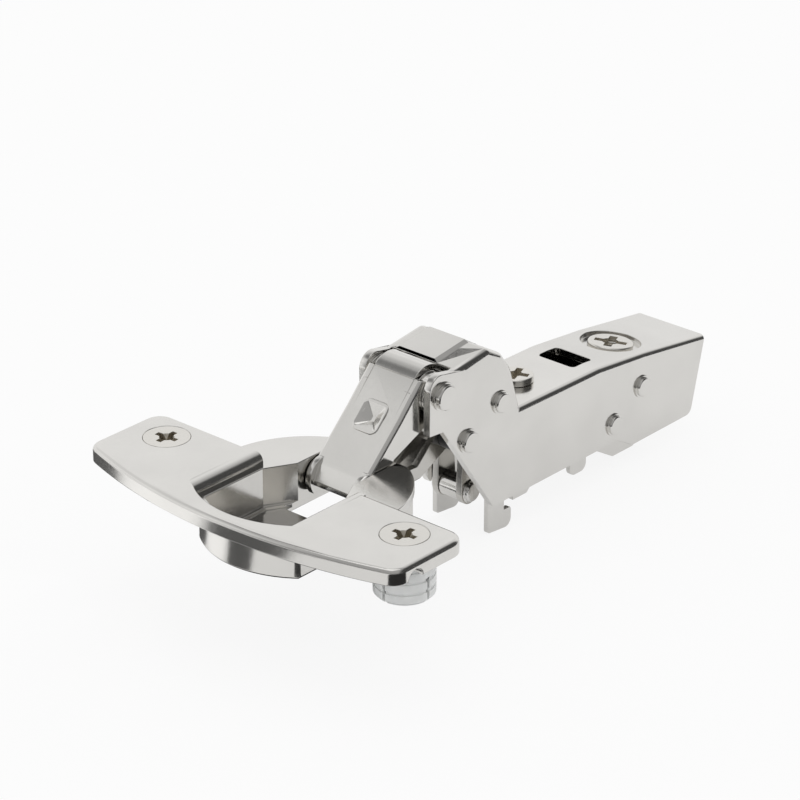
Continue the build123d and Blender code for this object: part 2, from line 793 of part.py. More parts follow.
with BuildPart() as base_channel:
    with BuildSketch(Plane.XZ) as base_side:
        Polygon(
            (38.4, -12.0),
            (41.5, base_web_top - 1.5),
            (web_start, base_web_top),
            (web_end, base_web_top),
            (91.0, -10.0),
            (91.0, -17.5),
            (83.5, -17.5),
            (78.2, -22.0),
            (72.5, -22.0),
            (68.4, -19.6),
            (68.4, -17.2),
            (64.9, -17.2),
            (64.9, -21.6),
            (60.5, -21.6),
            (60.5, -17.2),
            (49.4, -17.2),
            (49.4, -19.4),
            (48.6, -20.1),
            (44.9, -20.1),
            (44.9, -19.0),
            (42.6, -19.0),
            (42.6, -21.0),
            (44.5, -21.0),
            (44.5, -24.7),
            (38.4, -24.1),
            align=None,
        )
        fillet(base_side.vertices().sort_by_distance((64.9, -21.6))[0], 1.4)
        fillet(base_side.vertices().sort_by_distance((60.5, -21.6))[0], 1.4)
        fillet(base_side.vertices().sort_by_distance((44.5, -24.7))[0], 1.5)
        fillet(base_side.vertices().sort_by_distance((44.5, -21.0))[0], 0.6)
        fillet(base_side.vertices().sort_by_distance((38.4, -24.1))[0], 0.6)
    extrude(amount=base_half_width, both=True)
    with Locations((60, 0, base_web_top - base_sheet)):
        Box(80, 2 * base_inside, 40, align=(Align.CENTER, Align.CENTER, Align.MAX), mode=Mode.SUBTRACT)
    with Locations((web_start, 0, 0)):
        Box(40, 2 * base_inside, 40, align=(Align.MAX, Align.CENTER, Align.CENTER), mode=Mode.SUBTRACT)
    with Locations((web_end, 0, 0)):
        Box(40, 2 * base_inside, 40, align=(Align.MIN, Align.CENTER, Align.CENTER), mode=Mode.SUBTRACT)
    with Locations((depth_screw_x - 0.4, peg_offset / 2, base_web_top)):
        Box(2 * (peg_radius + peg_play), 7.6, 4, mode=Mode.SUBTRACT)
    with BuildSketch(Plane.XY.offset(base_web_top - 2)):
        with Locations((side_screw_x, 0)):
            SlotCenterToCenter(2 * adjust_travel + 0.4, 2 * neck_radius + 0.5)
    extrude(amount=4, mode=Mode.SUBTRACT)
    for pivot, radius in ((tilt_pivot, tilt_pin_radius), (damper_pivot, damper_pin_radius)):
        with BuildSketch(Plane.XZ):
            with Locations(pivot):
                SlotCenterToCenter(2 * adjust_travel + 0.5, 2 * radius + 0.9)
        extrude(amount=12, both=True, mode=Mode.SUBTRACT)
    side_cylinder(latch_pivot[0], latch_pivot[1], latch_pin_radius + press_fit, 12, Mode.SUBTRACT)

base_channel.part.label = "base_channel"
export_step(base_channel.part, "parts/base_channel.step")

# ------------------------------------------------------------------ adjusting screws
# The depth screw turns in the arm's dimple. Its peg works in the cross slot of
# the base channel.
depth_head_radius = 4.1
depth_head_height = 0.85

with BuildPart() as depth_adjust_screw:
    with Locations(depth_screw_plane.offset(-depth_dimple_depth)):
        Cylinder(depth_head_radius, depth_head_height, align=bottom_aligned)
    fillet(edges().filter_by(GeomType.CIRCLE).group_by(Axis.Z)[-1], 0.3)
    with Locations(depth_screw_plane.offset(-depth_dimple_depth + 0.1)):
        Cylinder(2.0, 1.5, align=top_aligned)
        Cylinder(1.5, 3.4, mode=Mode.SUBTRACT)
    with Locations(depth_screw_plane.offset(-depth_dimple_depth - 1.3)):
        Cylinder(3.0, 0.4, align=top_aligned)
        with Locations((0, peg_offset, 0)):
            Cylinder(peg_radius, 1.5, align=top_aligned)
    with Locations(depth_screw_plane.offset(depth_head_height - depth_dimple_depth)):
        for turn in (0, 90):
            with Locations(Location((0, 0, 0), (0, 0, turn + 25))):
                Box(5.8, 1.45, 2.4, mode=Mode.SUBTRACT)

depth_adjust_screw.part.label = "depth_adjust_screw"
export_step(depth_adjust_screw.part, "parts/depth_adjust_screw.step")

# The side screw is threaded in the arm. Its neck rides in the base's slot.
with BuildPart() as side_adjust_screw:
    with Locations((side_screw_x, 0, -0.9)):
        Cylinder(3.1, 1.2, align=(Align.CENTER, Align.CENTER, Align.MAX))
    fillet(edges().group_by(Axis.Z)[-1], 0.3)
    with Locations((side_screw_x, 0, -2.0)):
        Cylinder(2.5, 4.1, align=(Align.CENTER, Align.CENTER, Align.MAX))
    with Locations((side_screw_x, 0, -6.0)):
        Cylinder(neck_radius, 2.5, align=(Align.CENTER, Align.CENTER, Align.MAX))
    with Locations((side_screw_x, 0, -8.45)):
        Cylinder(1.6, 0.35, align=(Align.CENTER, Align.CENTER, Align.MAX))
    with Locations((side_screw_x, 0, -0.9)):
        for turn in (0, 90):
            with Locations(Location((0, 0, 0), (0, 0, turn + 20))):
                Box(4.6, 1.2, 3.0, mode=Mode.SUBTRACT)
        Cylinder(1.1, 3.4, mode=Mode.SUBTRACT)

side_adjust_screw.part.label = "side_adjust_screw"
export_step(side_adjust_screw.part, "parts/side_adjust_screw.step")

# ------------------------------------------------------------------ release latch
# A sprung latch behind the slide. Its hook grips the mounting plate, and its
# thumb tab sticks out at the rear.
with BuildPart() as release_latch:
    with BuildSketch(Plane.XZ):
        with Locations(latch_pivot):
            Circle(2.4)
        Polygon(
            (85.2, -14.5),
            (84.6, -20.6),
            (82.6, -20.9),
            (83.0, -22.4),
            (86.6, -22.4),
            (88.6, -16.0),
            (97.3, -15.2),
            (97.5, -13.9),
            (89.0, -13.6),
            align=None,
        )
    extrude(amount=base_inside - side_play, both=True)
    with Locations((latch_pivot[0], 0, latch_pivot[1])):
        Box(6.4, 4.0, 7.4, mode=Mode.SUBTRACT)
    side_cylinder(latch_pivot[0], latch_pivot[1], latch_pin_radius + running_fit, 12, Mode.SUBTRACT)

release_latch.part.label = "release_latch"
export_step(release_latch.part, "parts/release_latch.step")

with BuildPart() as latch_pin:
    side_cylinder(latch_pivot[0], latch_pivot[1], latch_pin_radius, base_half_width)

latch_pin.part.label = "latch_pin"
export_step(latch_pin.part, "parts/latch_pin.step")

# The latch's spring: one leg lies under the base's web.
latch_coil_radius = 1.55
latch_wire = 0.5
latch_coil_width = 3.0

with BuildPart() as latch_spring:
    torsion_coil(latch_pivot, latch_coil_radius, latch_wire, latch_coil_width, 3.75)
    wire_leg(
        (latch_pivot[0] - latch_coil_radius, latch_pivot[1]),
        (85.8, -8.1),
        (latch_coil_width - latch_wire) / 2,
        latch_wire,
    )
    wire_leg(
        (latch_pivot[0], latch_pivot[1] + latch_coil_radius),
        (89.9, -12.7),
        (latch_wire - latch_coil_width) / 2,
        latch_wire,
    )

latch_spring.part.label = "latch_spring"
export_step(latch_spring.part, "parts/latch_spring.step")

# The damper's own spring pushes the piston forward.
with BuildPart() as damper_spring:
    spring_start = damper_plane(piston_end + 0.25)
    spring_edge = spring_start.location * Edge.make_helix(1.5, bore_end - piston_end - 0.5, 1.3)
    with BuildSketch(Plane(origin=spring_edge @ 0, z_dir=spring_edge % 0)):
        Circle(0.18)
    sweep(path=spring_edge)

damper_spring.part.label = "damper_spring"
export_step(damper_spring.part, "parts/damper_spring.step")
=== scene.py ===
from math import radians

import bpy
from mathutils.bvhtree import BVHTree
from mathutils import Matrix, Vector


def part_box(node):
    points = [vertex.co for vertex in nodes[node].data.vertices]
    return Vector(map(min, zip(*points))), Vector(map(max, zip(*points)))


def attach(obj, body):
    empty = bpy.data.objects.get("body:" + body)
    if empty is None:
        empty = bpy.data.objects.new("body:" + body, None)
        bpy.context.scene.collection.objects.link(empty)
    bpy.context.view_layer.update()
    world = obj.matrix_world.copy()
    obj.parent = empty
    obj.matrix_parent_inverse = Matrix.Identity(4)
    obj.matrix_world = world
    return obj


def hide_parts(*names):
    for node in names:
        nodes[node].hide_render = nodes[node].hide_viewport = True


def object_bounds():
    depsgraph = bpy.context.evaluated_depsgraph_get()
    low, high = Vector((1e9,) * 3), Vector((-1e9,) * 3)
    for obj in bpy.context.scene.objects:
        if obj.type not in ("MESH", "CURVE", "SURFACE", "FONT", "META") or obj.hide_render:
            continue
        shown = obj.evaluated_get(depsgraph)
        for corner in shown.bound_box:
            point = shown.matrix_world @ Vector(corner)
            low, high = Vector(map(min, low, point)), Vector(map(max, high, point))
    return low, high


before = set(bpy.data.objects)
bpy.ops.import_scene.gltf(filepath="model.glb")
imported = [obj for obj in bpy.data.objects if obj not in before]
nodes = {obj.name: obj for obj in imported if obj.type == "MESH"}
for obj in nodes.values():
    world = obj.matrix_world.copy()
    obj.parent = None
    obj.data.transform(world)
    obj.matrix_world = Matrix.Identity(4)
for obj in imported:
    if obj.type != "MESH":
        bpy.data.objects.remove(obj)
cad_box = [list(corner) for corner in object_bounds()]

# ------------------------------------------------------------------ cup
# The cup and its wide flange are one zinc casting, pressed into the door's bore.
# It is die cast, tumbled smooth and nickel plated, so its gloss is even with a faint peel.

smooth_angle = radians(28)


def round_lines(piece, is_soft, radius):
    """Rounds the piece's folded lines that is_soft picks by their two ends."""
    fold_angle = radians(12)
    bpy.ops.object.mode_set(mode="EDIT")
    bpy.ops.mesh.select_mode(type="EDGE")
    bpy.ops.mesh.select_all(action="DESELECT")
    bpy.ops.object.mode_set(mode="OBJECT")
    normals = {}
    for face in piece.data.polygons:
        for key in face.edge_keys:
            normals.setdefault(key, []).append(face.normal)
    for line in piece.data.edges:
        folded = normals[line.key][0].angle(normals[line.key][-1]) > fold_angle
        line.select = folded and is_soft(*(piece.data.vertices[k].co for k in line.vertices))
    bpy.ops.object.mode_set(mode="EDIT")
    bpy.ops.mesh.bevel(offset=radius, segments=5, clamp_overlap=True)
    bpy.ops.object.mode_set(mode="OBJECT")


def round_edges(piece, node, edge, least_angle):
    """Rounds the piece's sharp edges, and keeps its points near the node's surface and in its box."""
    surface = BVHTree.FromObject(piece, bpy.context.evaluated_depsgraph_get())
    rounding = piece.modifiers.new("rounding", "BEVEL")
    rounding.width = edge
    rounding.segments = 4
    rounding.limit_method = "ANGLE"
    rounding.angle_limit = radians(least_angle)
    rounding.use_clamp_overlap = False
    bpy.ops.object.modifier_apply(modifier="rounding")
    farthest_off = 0.7 * edge
    for point in piece.data.vertices:
        nearest, _, _, distance = surface.find_nearest(point.co)
        if distance > farthest_off:
            point.co = nearest
    low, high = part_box(node)
    for point in piece.data.vertices:
        for axis in range(3):
            point.co[axis] = min(max(point.co[axis], low[axis]), high[axis])


def smoothed_copy(node, body, edge, soft_lines=None, soft_radius=0, least_angle=36):
    """A joined copy of a CAD node, its sharp edges rounded by edge metres, that stands for the node."""
    bpy.ops.object.select_all(action="DESELECT")
    piece = bpy.data.objects.new(node + "_finished", nodes[node].data.copy())
    bpy.context.scene.collection.objects.link(piece)
    piece.select_set(True)
    bpy.context.view_layer.objects.active = piece
    piece.data.materials.clear()
    if piece.data.has_custom_normals:
        bpy.ops.mesh.customdata_custom_splitnormals_clear()
    bpy.ops.object.mode_set(mode="EDIT")
    bpy.ops.mesh.select_all(action="SELECT")
    bpy.ops.mesh.remove_doubles(threshold=2e-6)
    bpy.ops.mesh.dissolve_limited(angle_limit=radians(0.6))
    bpy.ops.object.mode_set(mode="OBJECT")
    if soft_lines:
        round_lines(piece, soft_lines, soft_radius)
    if edge:
        round_edges(piece, node, edge, least_angle)
    bpy.ops.object.shade_smooth_by_angle(angle=smooth_angle)
    facing = piece.modifiers.new("facing", "WEIGHTED_NORMAL")
    facing.keep_sharp = True
    facing.weight = 100
    bpy.ops.object.modifier_apply(modifier="facing")
    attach(piece, body)
    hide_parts(node)
    return piece


def plated_metal(name, colour, roughness, grain, grain_depth, stretch=(1, 1, 1)):
    """Nickel plate on metal: a fine grain in gloss and height, and wide faint clouds in the tone."""
    tone_swing = 0.03
    gloss_swing = 0.15
    material = bpy.data.materials.new(name)
    material.use_nodes = True
    tree = material.node_tree
    shader = tree.nodes["Principled BSDF"]
    shader.inputs["Metallic"].default_value = 1.0
    place = tree.nodes.new("ShaderNodeTexCoord")
    clouds = tree.nodes.new("ShaderNodeTexNoise")
    clouds.inputs["Scale"].default_value = 110.0
    clouds.inputs["Detail"].default_value = 3.0
    tree.links.new(place.outputs["Object"], clouds.inputs["Vector"])
    tone = tree.nodes.new("ShaderNodeValToRGB")
    tone.color_ramp.elements[0].position = 0.3
    tone.color_ramp.elements[0].color = [c * (1 - tone_swing) for c in colour] + [1]
    tone.color_ramp.elements[1].position = 0.7
    tone.color_ramp.elements[1].color = [c * (1 + tone_swing) for c in colour] + [1]
    tree.links.new(clouds.outputs["Fac"], tone.inputs["Fac"])
    tree.links.new(tone.outputs["Color"], shader.inputs["Base Color"])
    run = tree.nodes.new("ShaderNodeMapping")
    run.inputs["Scale"].default_value = stretch
    tree.links.new(place.outputs["Object"], run.inputs["Vector"])
    speckle = tree.nodes.new("ShaderNodeTexNoise")
    speckle.inputs["Scale"].default_value = grain
    speckle.inputs["Detail"].default_value = 4.0
    tree.links.new(run.outputs["Vector"], speckle.inputs["Vector"])
    gloss = tree.nodes.new("ShaderNodeMapRange")
    gloss.inputs["From Min"].default_value = 0.3
    gloss.inputs["From Max"].default_value = 0.7
    gloss.inputs["To Min"].default_value = roughness * (1 - gloss_swing)
    gloss.inputs["To Max"].default_value = roughness * (1 + gloss_swing)
    tree.links.new(speckle.outputs["Fac"], gloss.inputs["Value"])
    tree.links.new(gloss.outputs["Result"], shader.inputs["Roughness"])
    bump = tree.nodes.new("ShaderNodeBump")
    bump.inputs["Distance"].default_value = grain_depth
    tree.links.new(speckle.outputs["Fac"], bump.inputs["Height"])
    tree.links.new(bump.outputs["Normal"], shader.inputs["Normal"])
    return material


nickel_colour = (0.735, 0.722, 0.695)
cast_nickel = plated_metal(
    "cast nickel", nickel_colour, roughness=0.17, grain=1500.0, grain_depth=0.000002
)


def pot_corner(a, b):
    """The upright corners where the pot's round front meets its flat sides."""
    upright = abs(a.z - b.z) > 0.003
    below_flange = max(a.z, b.z) < -0.0015
    at_flat_side = min(abs(a.y), abs(b.y)) > 0.0105
    in_front = max(a.x, b.x) < 0
    return upright and below_flange and at_flat_side and in_front


cup = smoothed_copy(
    "hinge_cup", "cup", 0.00015, soft_lines=pot_corner, soft_radius=0.0006, least_angle=50
)
cup.data.materials.append(cast_nickel)

# The casting's rim rolls over along both sides of the opening.
roll_radius = 0.0016
roll_front, roll_rear = -0.0153, 0.00048
roll_inside, roll_outside = 0.0099, 0.0125
roll_bottom, roll_top = -0.0027, -0.00005
roll_x = (roll_front + roll_rear) / 2
roll_y = (roll_inside + roll_outside) / 2
roll_z = (roll_bottom + roll_top) / 2
for side in (-1, 1):
    bpy.ops.object.select_all(action="DESELECT")
    bpy.ops.mesh.primitive_cube_add(size=1, location=(roll_x, side * roll_y, roll_z))
    rim_roll = bpy.context.object
    rim_roll.name = "cup_rim_left" if side > 0 else "cup_rim_right"
    rim_roll.scale = (roll_rear - roll_front, roll_outside - roll_inside, roll_top - roll_bottom)
    bpy.ops.object.transform_apply(location=True, rotation=False, scale=True)
    bpy.ops.object.mode_set(mode="EDIT")
    bpy.ops.mesh.select_mode(type="EDGE")
    bpy.ops.mesh.select_all(action="DESELECT")
    bpy.ops.object.mode_set(mode="OBJECT")
    for bar_edge in rim_roll.data.edges:
        ends = [rim_roll.data.vertices[k].co for k in bar_edge.vertices]
        bar_edge.select = all(abs(end.y) < roll_y and end.z > roll_z for end in ends)
    bpy.ops.object.mode_set(mode="EDIT")
    bpy.ops.mesh.bevel(offset=roll_radius, segments=14)
    bpy.ops.object.mode_set(mode="OBJECT")
    bpy.ops.object.shade_smooth_by_angle(angle=smooth_angle)
    rim_roll.data.materials.append(cast_nickel)
    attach(rim_roll, "cup")

# ------------------------------------------------------------------ cup screws
# Two countersunk wood screws sit flush in the flange and drive into the dowels.
# They are cold-headed steel with a punched cross recess, whose metal is browner and painted darker as
# shade.

screw_nickel = plated_metal(
    "screw nickel", (0.74, 0.72, 0.68), roughness=0.18, grain=2600.0, grain_depth=0.000002
)
# The recess metal is browner than the head, and darker as painted shade inside the recess.
recess_nickel_with_painted_shade = plated_metal(
    "recess nickel with painted shade", (0.68, 0.64, 0.56), roughness=0.45, grain=3200.0, grain_depth=0.000004
)


def dress_screw(screw, face_level, recess_radius, head_centres, tilt=0.0):
    """Screw metal all over, and the browner recess metal, painted darker as shade, on the walls and floor
    of the cross recess.
    """
    rim_depth = 0.00012
    recess_depth = 0.0026
    screw.data.materials.append(screw_nickel)
    screw.data.materials.append(recess_nickel_with_painted_shade)
    for face in screw.data.polygons:
        for centre in head_centres:
            reach = ((face.center.x - centre[0]) ** 2 + (face.center.y - centre[1]) ** 2) ** 0.5
            below = face_level + tilt * (face.center.x - centre[0]) - face.center.z
            if reach < recess_radius and rim_depth < below < recess_depth:
                face.material_index = 1


cup_screw_x = -0.0055
cup_screw_y = 0.026
cup_screws = smoothed_copy("cup_screws", "cup", 0.00007)
dress_screw(
    cup_screws,
    face_level=0.0,
    recess_radius=0.0024,
    head_centres=((cup_screw_x, -cup_screw_y), (cup_screw_x, cup_screw_y)),
)

# ------------------------------------------------------------------ dowels
# Two slit nylon dowels hang under the flange and spread in the door when the screws go in.
# They are moulded in natural nylon, milky and a little translucent, with barbed rings.


def moulded_plastic(name, dark, light, roughness, grain=1400.0, detail=4.0, spread=0.15, depth=0.000006):
    """Moulded plastic: a slightly uneven tone from dark to light, and a fine dull grain."""
    material = bpy.data.materials.new(name)
    material.use_nodes = True
    tree = material.node_tree
    shader = tree.nodes["Principled BSDF"]
    shader.inputs["Roughness"].default_value = roughness
    place = tree.nodes.new("ShaderNodeTexCoord")
    skin = tree.nodes.new("ShaderNodeTexNoise")
    skin.inputs["Scale"].default_value = grain
    skin.inputs["Detail"].default_value = detail
    tree.links.new(place.outputs["Object"], skin.inputs["Vector"])
    tone = tree.nodes.new("ShaderNodeValToRGB")
    tone.color_ramp.elements[0].position = 0.5 - spread
    tone.color_ramp.elements[0].color = dark
    tone.color_ramp.elements[1].position = 0.5 + spread
    tone.color_ramp.elements[1].color = light
    tree.links.new(skin.outputs["Fac"], tone.inputs["Fac"])
    tree.links.new(tone.outputs["Color"], shader.inputs["Base Color"])
    bump = tree.nodes.new("ShaderNodeBump")
    bump.inputs["Distance"].default_value = depth
    tree.links.new(skin.outputs["Fac"], bump.inputs["Height"])
    tree.links.new(bump.outputs["Normal"], shader.inputs["Normal"])
    return material


milky_dark = (0.84, 0.85, 0.84, 1)
milky_light = (0.92, 0.93, 0.92, 1)
natural_nylon = moulded_plastic(
    "natural nylon",
    milky_dark,
    milky_light,
    roughness=0.32,
    grain=350.0,
    detail=3.0,
    spread=0.2,
    depth=0.00001,
)
nylon = natural_nylon.node_tree.nodes["Principled BSDF"]
nylon.inputs["IOR"].default_value = 1.53
nylon.inputs["Transmission Weight"].default_value = 0.08
nylon.inputs["Subsurface Weight"].default_value = 0.6
nylon.inputs["Subsurface Radius"].default_value = (0.004, 0.004, 0.004)
smoothed_copy("cup_dowels", "cup", 0.0001).data.materials.append(natural_nylon)

# ------------------------------------------------------------------ cup pins
# Two ground steel pins carry the links in the cup's cheeks.
# They are cut from bright rod, so they stay shinier than the plated sheet.

bright_pin = plated_metal(
    "bright pin", (0.70, 0.69, 0.67), roughness=0.18, grain=2200.0, grain_depth=0.0000015, stretch=(8, 1, 8)
)
for node, body in (("cup_pin", "cup"), ("inner_cup_pin", "inner_link")):
    smoothed_copy(node, body, 0.00008).data.materials.append(bright_pin)

# ------------------------------------------------------------------ outer link
# The outer link is folded from steel strip: a curl round its axle, a web with a coined
# emboss, and a lip round the cup pin. It is pressed, then plated, with soft fold edges.

strip_nickel = plated_metal(
    "strip nickel", nickel_colour, roughness=0.15, grain=1800.0, grain_depth=0.0000018, stretch=(0.35, 1, 1)
)
smoothed_copy("outer_link", "outer_link", 0.0001).data.materials.append(strip_nickel)

# ------------------------------------------------------------------ washers
# Two pressed washers keep the outer link's curl off the arm's plates.
# They are blanked from strip and tumbled.

smoothed_copy("link_washers", "arm", 0.00006).data.materials.append(strip_nickel)

# ------------------------------------------------------------------ inner link
# The inner link is a pair of plates joined by a cross web, on the arm's lower axle.
# It is plated strip, its nickel painted darker all over as shade. A ground pin
# through its lower ends works the damper.

painted_shade_nickel = plated_metal(
    "nickel with painted shade", (0.60, 0.585, 0.555), roughness=0.2, grain=1800.0, grain_depth=0.0000025
)
smoothed_copy("inner_link", "inner_link", 0.0001).data.materials.append(painted_shade_nickel)
smoothed_copy("lever_pin", "inner_link", 0.0001).data.materials.append(bright_pin)

# ------------------------------------------------------------------ arm
# The arm is a channel folded from heavy strip, with a raised nose over the links,
# a square window and a dished seat for the depth screw. The plating is smooth and bright.

arm_nickel = plated_metal(
    "arm nickel", nickel_colour, roughness=0.15, grain=1600.0, grain_depth=0.0000015, stretch=(0.3, 1, 1)
)
smoothed_copy("hinge_arm", "arm", 0.00012).data.materials.append(arm_nickel)

# ------------------------------------------------------------------ rivet pins
# Five rivets cross the arm: the link axles, the spring axle, the tilt pin and the damper pin.
# Each has a low turned head with a flat face and a rounded rim, plated with the arm.

rivet_nickel = plated_metal(
    "rivet nickel", nickel_colour, roughness=0.10, grain=2600.0, grain_depth=0.0000015
)
for rivet in ("link_axle", "spring_axle", "inner_link_axle", "tilt_pin", "damper_pin"):
    smoothed_copy(rivet, "arm", 0.00005).data.materials.append(rivet_nickel)

# ------------------------------------------------------------------ sleeves
# Plain acetal sleeves keep the links and the closing spring in the middle of their axles.
# They are moulded, with a dull even skin.

black_acetal = moulded_plastic(
    "black acetal", (0.020, 0.020, 0.021, 1), (0.032, 0.032, 0.033, 1), roughness=0.45
)
pale_acetal = moulded_plastic("pale acetal", (0.70, 0.70, 0.67, 1), (0.78, 0.78, 0.75, 1), roughness=0.42)
smoothed_copy("axle_sleeves", "arm", 0.0001).data.materials.append(black_acetal)
smoothed_copy("spring_sleeve", "arm", 0.0001).data.materials.append(pale_acetal)

# ------------------------------------------------------------------ springs
# The closing spring, the damper's return spring and the latch spring are wound from hard wire.
# The wire is drawn and left grey, with fine lines along it.

spring_wire = plated_metal(
    "spring wire", (0.46, 0.455, 0.45), roughness=0.30, grain=2400.0, grain_depth=0.000003
)
for node, body in (
    ("closing_spring", "arm"),
    ("damper_spring", "damper_cylinder"),
    ("latch_spring", "base"),
):
    smoothed_copy(node, body, 0).data.materials.append(spring_wire)

# ------------------------------------------------------------------ damper
# The damper lies in the arm: a steel rod with a plastic piston slides in a plastic cylinder.
# The rod's eye takes the lever pin, and the cylinder's rear eye sits on the damper pin.

smoothed_copy("damper_rod", "damper_rod", 0.0001).data.materials.append(strip_nickel)
smoothed_copy("damper_piston", "damper_rod", 0.0001).data.materials.append(black_acetal)
smoothed_copy("damper_cylinder", "damper_cylinder", 0.00015).data.materials.append(pale_acetal)
smoothed_copy("damper_gland", "damper_cylinder", 0.0001).data.materials.append(black_acetal)

# ------------------------------------------------------------------ slide and base
# The arm hangs on a slide, and the slide rides in a channel that clips to the mounting plate.
# The slide is a small steel block. The channel is folded strip, with hooks in front and lugs below.

# The slide takes the same nickel, painted darker as shade.
smoothed_copy("depth_slide", "slide", 0.0001).data.materials.append(painted_shade_nickel)
smoothed_copy("base_channel", "base", 0.00012).data.materials.append(strip_nickel)

# ------------------------------------------------------------------ adjusting screws
# The rear screw sets the depth, and the front one, behind the nose, sets the side gap.
# Both are cold-headed and plated like the cup screws, with a deep cross recess.

side_screw_x = 0.0528
side_screw_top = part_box("side_adjust_screw")[1].z
side_screw = smoothed_copy("side_adjust_screw", "side_screw", 0.00007)
dress_screw(side_screw, side_screw_top, recess_radius=0.0026, head_centres=((side_screw_x, 0.0),))
depth_screw_x = 0.0789
depth_screw_slope = -0.1228
depth_screw_rise = 0.0005
depth_screw_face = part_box("depth_adjust_screw")[1].z - depth_screw_rise
depth_screw = smoothed_copy("depth_adjust_screw", "depth_screw", 0.00007)
dress_screw(
    depth_screw,
    depth_screw_face,
    recess_radius=0.0032,
    head_centres=((depth_screw_x, 0.0),),
    tilt=depth_screw_slope,
)

# ------------------------------------------------------------------ release latch
# A sprung latch at the rear end holds the arm on its plate until it is pressed.
# It is pressed steel on a short pin.

smoothed_copy("release_latch", "latch", 0.00012).data.materials.append(strip_nickel)
smoothed_copy("latch_pin", "base", 0.00008).data.materials.append(bright_pin)

# ------------------------------------------------------------------ floor
# The hinge stands on a plain white paper sheet, which takes its soft shadow.
# The sheet glows for the camera, and less for the metal's reflections, so that it stays white.

sheet_level = cad_box[0][2] - 0.0002
seen_glow = 0.88
mirrored_glow = 0.42
bpy.ops.object.select_all(action="DESELECT")
bpy.ops.mesh.primitive_plane_add(size=6.0, location=(0, 0, sheet_level))
floor = bpy.context.object
floor.name = "studio_floor"
paper = bpy.data.materials.new("studio paper")
paper.use_nodes = True
paper_tree = paper.node_tree
paper_shader = paper_tree.nodes["Principled BSDF"]
paper_shader.inputs["Base Color"].default_value = (0.9, 0.9, 0.9, 1)
paper_shader.inputs["Roughness"].default_value = 0.9


def reckon(operation, first, second):
    """A step of arithmetic on a value and on a second value or number."""
    step = paper_tree.nodes.new("ShaderNodeMath")
    step.operation = operation
    paper_tree.links.new(first, step.inputs[0])
    if isinstance(second, float):
        step.inputs[1].default_value = second
    else:
        paper_tree.links.new(second, step.inputs[1])
    return step.outputs[0]


ray = paper_tree.nodes.new("ShaderNodeLightPath").outputs
seen = reckon("MAXIMUM", ray["Is Camera Ray"], ray["Is Transmission Ray"])
seen_share = reckon("MULTIPLY", seen, seen_glow)
mirrored_share = reckon("MULTIPLY", ray["Is Glossy Ray"], mirrored_glow)
glow = paper_tree.nodes.new("ShaderNodeEmission")
paper_mix = paper_tree.nodes.new("ShaderNodeMixShader")
paper_tree.links.new(reckon("MAXIMUM", seen_share, mirrored_share), paper_mix.inputs["Fac"])
paper_tree.links.new(paper_shader.outputs[0], paper_mix.inputs[1])
paper_tree.links.new(glow.outputs[0], paper_mix.inputs[2])
paper_tree.links.new(paper_mix.outputs[0], paper_tree.nodes["Material Output"].inputs["Surface"])
floor.data.materials.append(paper)

# ------------------------------------------------------------------ studio light
# The room's far side is white and fades upwards, and its near side is grey, with a dark flag on
# the camera's right. A soft lamp hangs overhead. The camera itself sees plain white.

studio = bpy.data.worlds.new("studio")
bpy.context.scene.world = studio
studio.use_nodes = True
studio_tree = studio.node_tree
direction = studio_tree.nodes.new("ShaderNodeTexCoord").outputs["Generated"]
height = studio_tree.nodes.new("ShaderNodeSeparateXYZ")
studio_tree.links.new(direction, height.inputs[0])


def wall_tones(tones):
    """A grey scale up one side of the room, from (height, level) pairs."""
    ramp = studio_tree.nodes.new("ShaderNodeValToRGB")
    while len(ramp.color_ramp.elements) < len(tones):
        ramp.color_ramp.elements.new(0.5)
    for element, (level_height, level) in zip(ramp.color_ramp.elements, tones):
        element.position = level_height
        element.color = (level, level, level, 1)
    studio_tree.links.new(height.outputs["Z"], ramp.inputs["Fac"])
    return ramp.outputs["Color"]


def share_toward(way, start, full):
    """How far a direction points the given way: 0 where their product is start, 1 where it is full."""
    toward = studio_tree.nodes.new("ShaderNodeVectorMath")
    toward.operation = "DOT_PRODUCT"
    toward.inputs[1].default_value = way
    studio_tree.links.new(direction, toward.inputs[0])
    share = studio_tree.nodes.new("ShaderNodeMapRange")
    share.inputs["From Min"].default_value = start
    share.inputs["From Max"].default_value = full
    studio_tree.links.new(toward.outputs["Value"], share.inputs["Value"])
    return share.outputs["Result"]


def blended(share, first, second):
    """The first tone, turning to the second, which may be a grey level, as the share rises to 1."""
    mix = studio_tree.nodes.new("ShaderNodeMix")
    mix.data_type = "RGBA"
    studio_tree.links.new(share, mix.inputs["Factor"])
    studio_tree.links.new(first, mix.inputs["A"])
    if isinstance(second, float):
        mix.inputs["B"].default_value = (second, second, second, 1)
    else:
        studio_tree.links.new(second, mix.inputs["B"])
    return mix.outputs["Result"]


far_side = wall_tones((
    (0.0, 1.0), (0.26, 0.86), (0.43, 0.97), (0.60, 0.80), (0.70, 0.80), (0.80, 0.44), (1.0, 0.5),
))
near_side = wall_tones((
    (0.0, 0.20), (0.20, 0.34), (0.45, 0.42), (0.75, 0.40), (0.88, 0.45), (1.0, 0.5),
))
flag_tone = 0.07
even_tone = 0.8
flag_share = share_toward((0.74, -0.67, 0), start=0.45, full=0.72)
flagged_side = blended(flag_share, near_side, flag_tone)
far_share = share_toward((0.42, 0.91, 0), start=0.0, full=0.32)
room = blended(far_share, flagged_side, far_side)
sky_ray = studio_tree.nodes.new("ShaderNodeLightPath").outputs
lit_room = blended(sky_ray["Is Diffuse Ray"], room, even_tone)
backdrop = blended(sky_ray["Is Camera Ray"], lit_room, 1.0)
studio_tree.links.new(backdrop, studio_tree.nodes["Background"].inputs["Color"])

bpy.ops.object.light_add(type="AREA", location=(0.05, 0.1, 0.7))
overhead = bpy.context.object
overhead.name = "overhead_lamp"
overhead.data.size = 0.5
overhead.data.energy = 0.5
